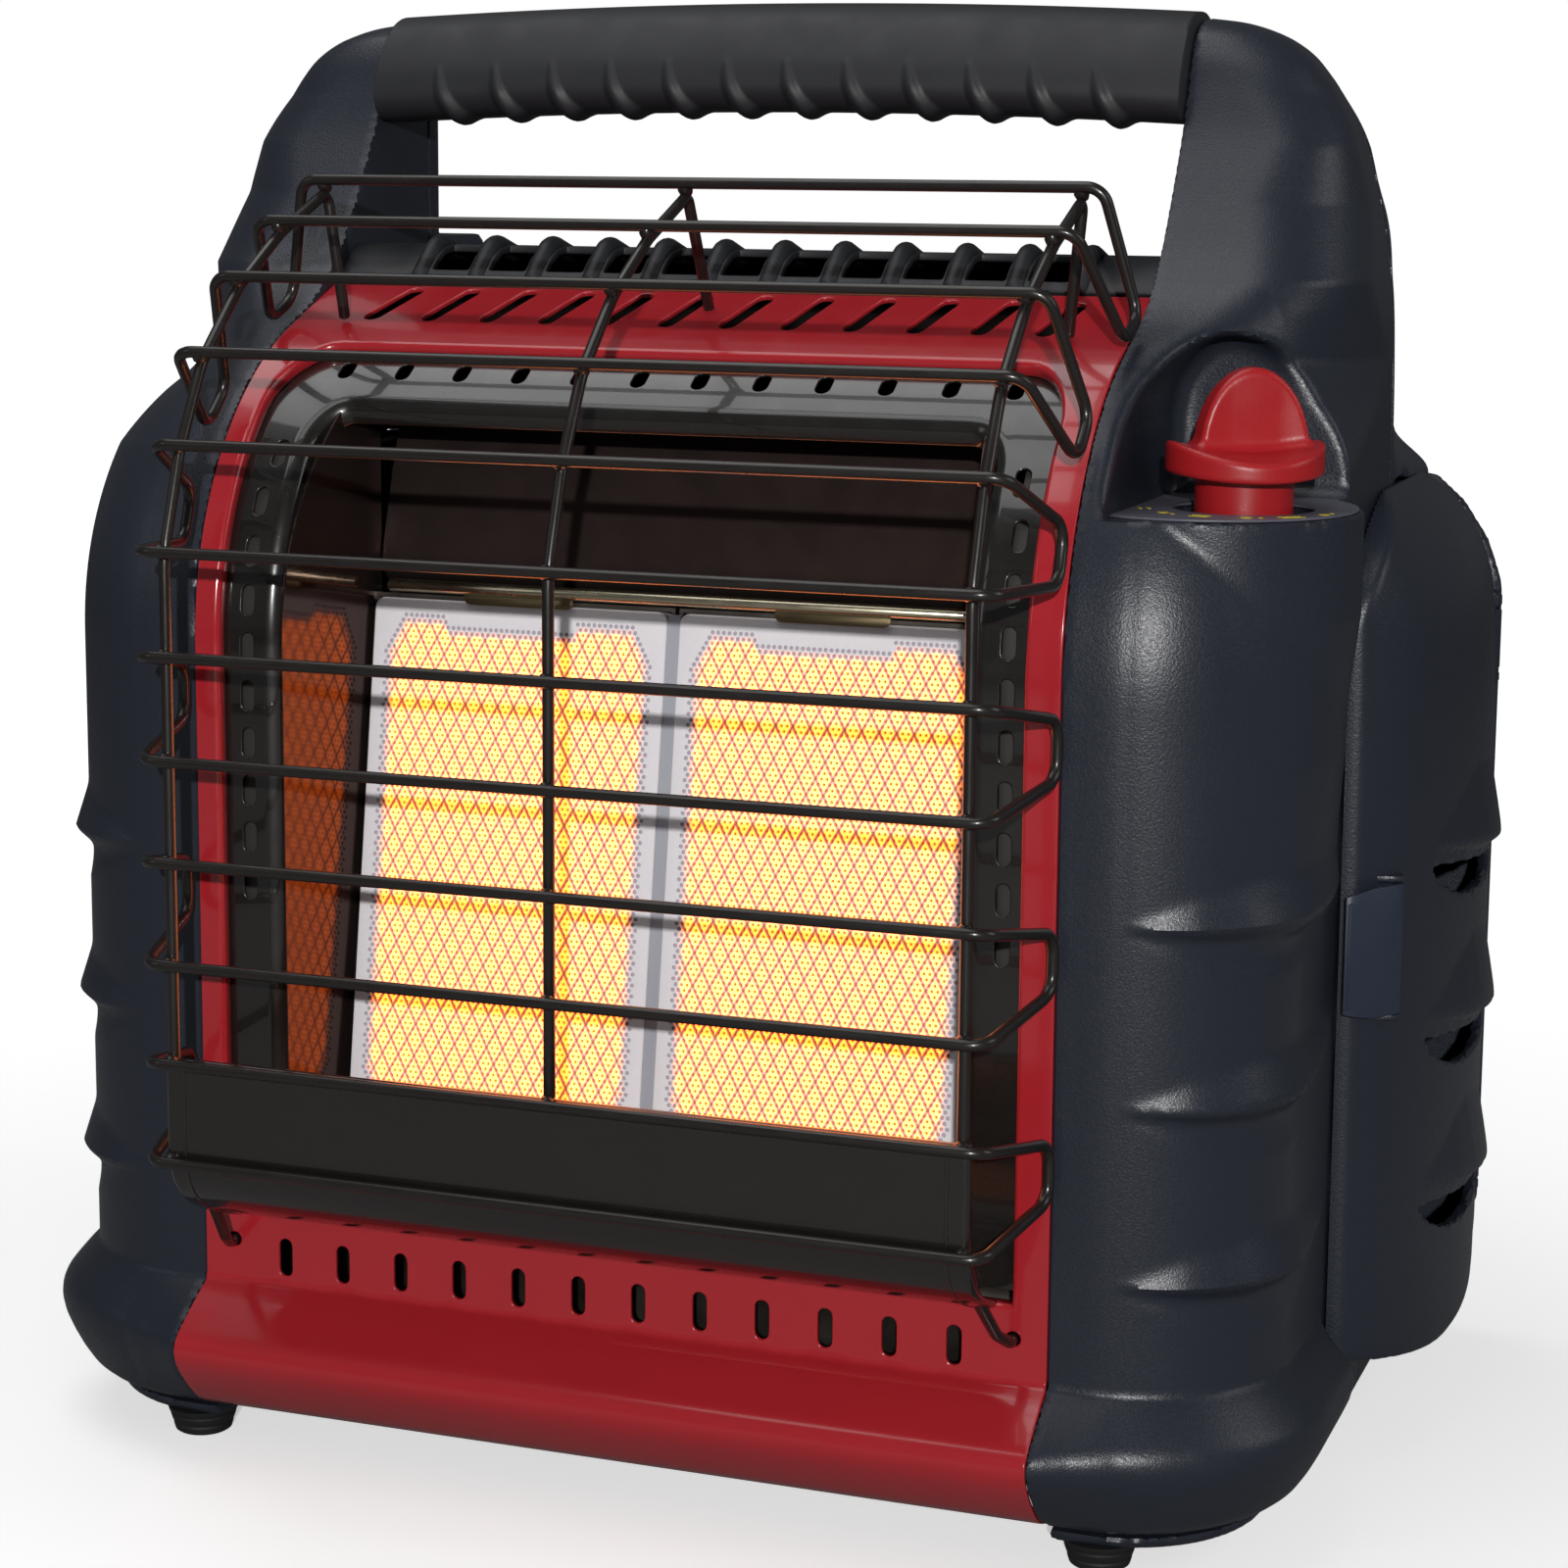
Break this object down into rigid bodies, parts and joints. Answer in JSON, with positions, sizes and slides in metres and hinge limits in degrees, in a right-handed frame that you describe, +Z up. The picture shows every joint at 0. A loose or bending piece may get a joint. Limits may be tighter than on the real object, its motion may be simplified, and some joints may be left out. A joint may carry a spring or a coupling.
{
  "type": "portable propane heater",
  "caption": "Portable radiant propane heater with a wire-guarded burner opening, carry handle, push-and-turn gas knob and hinged side doors over its cylinder bays.",
  "frame": {"origin": "centre of the bounding box's footprint, on the surface that the feet stand on", "axes": "+X towards the knob's side (right when facing the heater), +Y from the guard towards the back wall, +Z up"},
  "size_m": [0.4436, 0.2964, 0.434],
  "materials": {
    "housing_plastic": "fine moulded texture",
    "red_enamel": "gloss enamel",
    "guard_black": "satin",
    "black_enamel": "gloss enamel",
    "heat_steel": "satin",
    "ceramic": "matt ceramic",
    "brass": "satin",
    "bronze_clip": "heat tinted",
    "aluminium": "satin",
    "zinc_casting": "cast",
    "plain_steel": "plated",
    "knob_red": "satin",
    "dial_grey": "satin",
    "rubber": "matt",
    "black_plastic": "satin"
  },
  "bodies": {
    "housing": {"base_pan": "heat_steel", "battery_box": "black_plastic", "battery_contacts": "plain_steel", "burner_bracket": "heat_steel", "burner_manifold": "aluminium", "burner_orifices": "brass", "burner_plenums": "heat_steel", "dial_plate": "dial_grey", "door_hinge_pins": "plain_steel", "fan_motor": "plain_steel", "fan_shroud": "black_plastic", "fan_switch_body": "black_plastic", "foot_screws": "plain_steel", "front_panel": "red_enamel", "gas_valve": "zinc_casting", "guard_lower_rings": "guard_black", "guard_middle_wire": "guard_black", "guard_upper_rings": "guard_black", "guard_uprights": "guard_black", "handle_grip": "housing_plastic", "handle_rod": "plain_steel", "heat_shield": "heat_steel", "igniter_electrode": "plain_steel", "igniter_piezo": "black_plastic", "inner_surround": "black_enamel", "left_burner_tile": "ceramic", "left_gas_line": "aluminium", "left_side_shell": "housing_plastic", "left_tank_bay_liner": "heat_steel", "lower_guard_plate": "black_enamel", "pilot_burner": "brass", "power_socket": "black_plastic", "rear_screws": "plain_steel", "rear_shell": "housing_plastic", "reflector_box": "heat_steel", "right_burner_tile": "ceramic", "right_gas_line": "aluminium", "right_side_shell": "housing_plastic", "right_tank_bay_liner": "heat_steel", "rubber_feet": "rubber", "swivel_fittings": "brass", "thermocouple": "brass", "tile_clips": "bronze_clip", "tile_retainer_rod": "brass", "tip_switch_case": "black_plastic", "top_grille": "housing_plastic", "venturi_tubes": "aluminium"},
    "valve_spindle": {"valve_stem": "plain_steel", "knob_spring": "plain_steel"},
    "control_knob": {"control_knob": "knob_red"},
    "right_tank_door": {"right_tank_door": "housing_plastic"},
    "left_tank_door": {"left_tank_door": "housing_plastic"},
    "right_door_latch": {"right_door_latch": "housing_plastic"},
    "left_door_latch": {"left_door_latch": "housing_plastic"},
    "right_regulator": {"right_regulator": "zinc_casting"},
    "left_regulator": {"left_regulator": "zinc_casting"},
    "fan_rotor": {"fan_rotor": "black_plastic"},
    "fan_switch_rocker": {"fan_switch_rocker": "black_plastic"},
    "battery_cover": {"battery_cover": "housing_plastic"},
    "tip_switch_pendulum": {"tip_switch_pendulum": "plain_steel"}
  },
  "joints": [
    {"name": "knob_turn", "type": "hinge", "parent": "housing", "child": "valve_spindle", "pos_m": [0.1665, -0.05175, 0.2925], "axis": [0, 0, 1], "range_deg": [-225, 0]},
    {"name": "knob_push", "type": "slide", "parent": "valve_spindle", "child": "control_knob", "axis": [0, 0, -1], "range_m": [0, 0.003], "stiffness_N_per_m": 2000, "springref_m": -0.001, "deforming": ["knob_spring"]},
    {"name": "right_door_swing", "type": "hinge", "parent": "housing", "child": "right_tank_door", "pos_m": [0.2075, 0.13275, 0.15], "axis": [0, 0, 1], "range_deg": [0, 100]},
    {"name": "left_door_swing", "type": "hinge", "parent": "housing", "child": "left_tank_door", "pos_m": [-0.2075, 0.13275, 0.15], "axis": [0, 0, -1], "range_deg": [0, 100]},
    {"name": "right_latch_flex", "type": "hinge", "parent": "right_tank_door", "child": "right_door_latch", "pos_m": [0.204, 0.00025, 0.1635], "axis": [0, 0, 1], "range_deg": [0, 10], "stiffness_Nm_per_rad": 0.4, "springref_deg": -2.86},
    {"name": "left_latch_flex", "type": "hinge", "parent": "left_tank_door", "child": "left_door_latch", "pos_m": [-0.204, 0.00025, 0.1635], "axis": [0, 0, -1], "range_deg": [0, 10], "stiffness_Nm_per_rad": 0.4, "springref_deg": -2.86},
    {"name": "right_regulator_swivel", "type": "hinge", "parent": "housing", "child": "right_regulator", "pos_m": [0.124, 0.00925, 0.262], "axis": [0, 0, -1], "range_deg": [-15, 25]},
    {"name": "left_regulator_swivel", "type": "hinge", "parent": "housing", "child": "left_regulator", "pos_m": [-0.124, 0.00925, 0.262], "axis": [0, 0, 1], "range_deg": [-15, 25]},
    {"name": "fan_spin", "type": "hinge", "parent": "housing", "child": "fan_rotor", "pos_m": [0, 0.13625, 0.205], "axis": [0, 1, 0], "continuous": true},
    {"name": "fan_switch_rock", "type": "hinge", "parent": "housing", "child": "fan_switch_rocker", "pos_m": [0.088, 0.14175, 0.157], "axis": [-1, 0, 0], "range_deg": [0, 8]},
    {"name": "battery_cover_swing", "type": "hinge", "parent": "housing", "child": "battery_cover", "pos_m": [0, 0.14665, 0.0988], "axis": [1, 0, 0], "range_deg": [0, 110]},
    {"name": "tip_switch_swing", "type": "hinge", "parent": "housing", "child": "tip_switch_pendulum", "pos_m": [-0.159, -0.04475, 0.044], "axis": [1, 0, 0], "range_deg": [-12, 12]}
  ]
}
